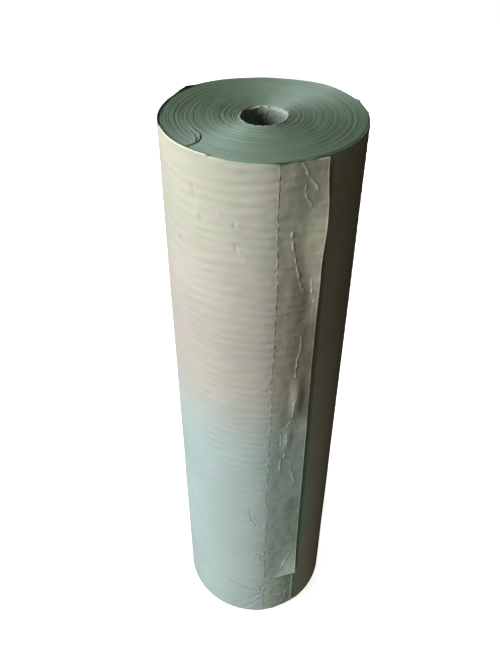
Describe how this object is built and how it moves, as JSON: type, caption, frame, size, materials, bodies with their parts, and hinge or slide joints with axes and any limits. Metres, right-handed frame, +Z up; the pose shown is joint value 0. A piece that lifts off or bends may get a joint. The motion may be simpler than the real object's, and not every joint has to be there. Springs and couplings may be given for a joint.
{
  "type": "roll of building paper",
  "caption": "Standing roll of grey-green building paper wound on itself with an open bore, its free edge closed by strips of pasted paper tape that partly lift off.",
  "frame": {"origin": "centre of the base, where the roll's axis meets the floor", "axes": "+Z up along the roll's axis, -Y towards the roll's front as the picture shows it, +X to the right"},
  "size_m": [0.285, 0.285, 1.05],
  "materials": {
    "building_paper": "matt grey-green recycled paper with fine ripples round the roll",
    "paper_tape": "matt brownish grey paper tape, wrinkled where it was pasted"
  },
  "bodies": {
    "root": {"paper_roll": "building_paper", "closing_strip_upper": "paper_tape", "closing_strip_lower": "paper_tape"}
  },
  "joints": []
}
